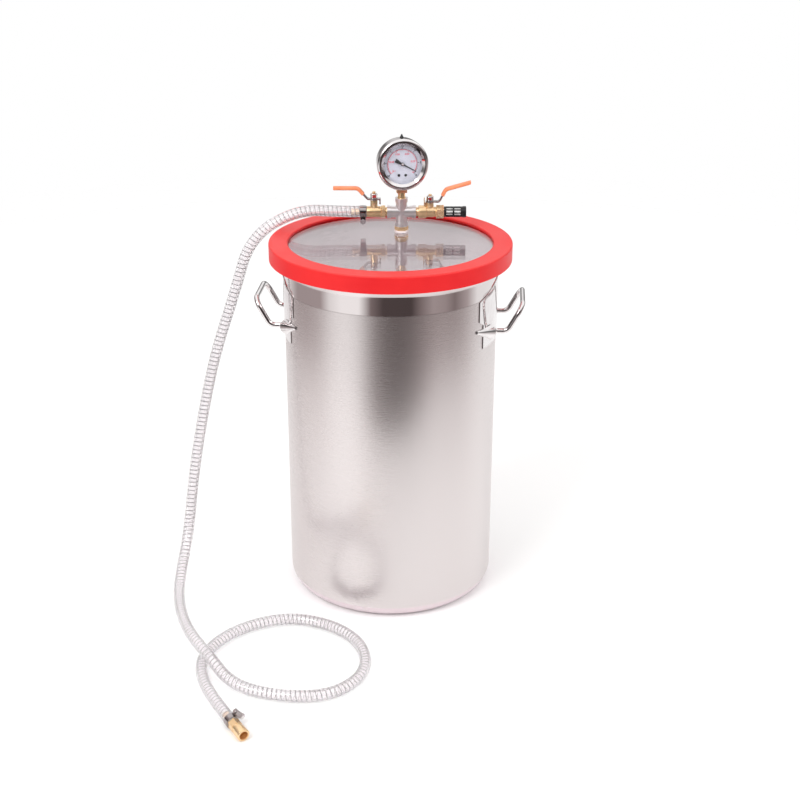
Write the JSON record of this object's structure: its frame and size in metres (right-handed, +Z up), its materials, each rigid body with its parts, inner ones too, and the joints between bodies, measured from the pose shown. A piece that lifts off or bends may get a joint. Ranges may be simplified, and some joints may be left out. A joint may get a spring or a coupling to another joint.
{
  "type": "vacuum chamber",
  "caption": "Tall stainless pot with side handles, a clear lid in a silicone ring, and a manifold with ball valves, a gauge, a muffler and a wire-reinforced hose.",
  "frame": {"origin": "middle of the pot's base, on the surface it stands on", "axes": "+Z up along the pot's axis; +X along the manifold, towards the muffler; -Y towards the front, where the gauge looks"},
  "size_m": [0.5123, 0.6102, 0.657],
  "materials": {
    "pot": "satin with a polished band under the rim",
    "handle_rod": "polished rod",
    "handle_plate": "polished pressing",
    "gasket": "smooth moulded silicone",
    "lid": "clear and polished",
    "turned_steel": "turned",
    "washer": "smooth",
    "cast_steel": "investment-cast stainless steel",
    "brass": "machined",
    "cast_brass": "sand-cast and machined",
    "muffler": "moulded",
    "element": "porous",
    "gauge_case": "black, glossy",
    "window": "clear",
    "dial": "pale enamel",
    "dark_steel": "oxidised",
    "pointer": "matt black",
    "plug": "matt",
    "hose": "clear soft plastic with a wire helix in its wall",
    "clamp": "polished band",
    "ball": "polished",
    "seat": "smooth",
    "lever_steel": "plated pressing",
    "sleeve": "dipped vinyl",
    "lever_nut": "dark plated"
  },
  "bodies": {
    "root": {"pot_shell": "pot", "handle_rod_left": "handle_rod", "handle_rod_right": "handle_rod", "handle_plate_left": "handle_plate", "handle_plate_right": "handle_plate", "gasket_ring": "gasket", "lid": "lid", "bulkhead_fitting": "turned_steel", "bulkhead_washer_top": "washer", "bulkhead_washer_bottom": "washer", "bulkhead_locknut": "turned_steel", "pipe_cross": "cast_steel", "left_valve_body": "brass", "left_valve_end": "brass", "right_valve_body": "cast_brass", "right_valve_end": "cast_brass", "muffler_body": "muffler", "muffler_element": "element", "gauge_case": "gauge_case", "gauge_bezel": "gauge_case", "gauge_window": "window", "gauge_dial": "dial", "gauge_dial_screws": "dark_steel", "gauge_movement": "brass", "gauge_socket": "brass", "gauge_bourdon_tube": "brass", "gauge_fill_plug": "plug", "hose": "hose", "hose_end_fitting": "brass", "top_clamp": "clamp", "top_clamp_screw": "clamp", "end_clamp": "clamp", "end_clamp_screw": "clamp", "left_valve_seat_inner": "seat", "left_valve_seat_outer": "seat", "left_valve_packing": "seat", "left_valve_gland_nut": "brass", "right_valve_seat_inner": "seat", "right_valve_seat_outer": "seat", "right_valve_packing": "seat", "right_valve_gland_nut": "brass"},
    "left_lever": {"left_valve_ball": "ball", "left_valve_stem": "brass", "left_valve_lever_plate": "lever_steel", "left_valve_lever_sleeve": "sleeve", "left_valve_lever_nut": "lever_nut"},
    "right_lever": {"right_valve_ball": "ball", "right_valve_stem": "brass", "right_valve_lever_plate": "lever_steel", "right_valve_lever_sleeve": "sleeve", "right_valve_lever_nut": "lever_nut"},
    "gauge_pointer": {"gauge_pointer": "pointer", "gauge_pinion": "brass"},
    "gauge_sector": {"gauge_sector": "brass"}
  },
  "joints": [
    {"name": "left_lever_turn", "type": "hinge", "parent": "root", "child": "left_lever", "pos_m": [-0.0236, 0.057, 0.546], "axis": [0, 0, 1], "range_deg": [-90, 0]},
    {"name": "right_lever_turn", "type": "hinge", "parent": "root", "child": "right_lever", "pos_m": [0.056, 0.057, 0.546], "axis": [0, 0, 1], "range_deg": [-90, 0]},
    {"name": "gauge_pointer_turn", "type": "hinge", "parent": "root", "child": "gauge_pointer", "pos_m": [0.0155, 0.057, 0.616], "axis": [0.1564, -0.9877, 0], "range_deg": [-10, 245]},
    {"name": "gauge_sector_turn", "type": "hinge", "parent": "root", "child": "gauge_sector", "pos_m": [0.0155, 0.057, 0.598], "axis": [0.1564, -0.9877, 0], "range_deg": [-49, 2]}
  ],
  "couplings": [
    {"joint": "gauge_pointer_turn", "follows": "gauge_sector_turn", "ratio": -5}
  ]
}
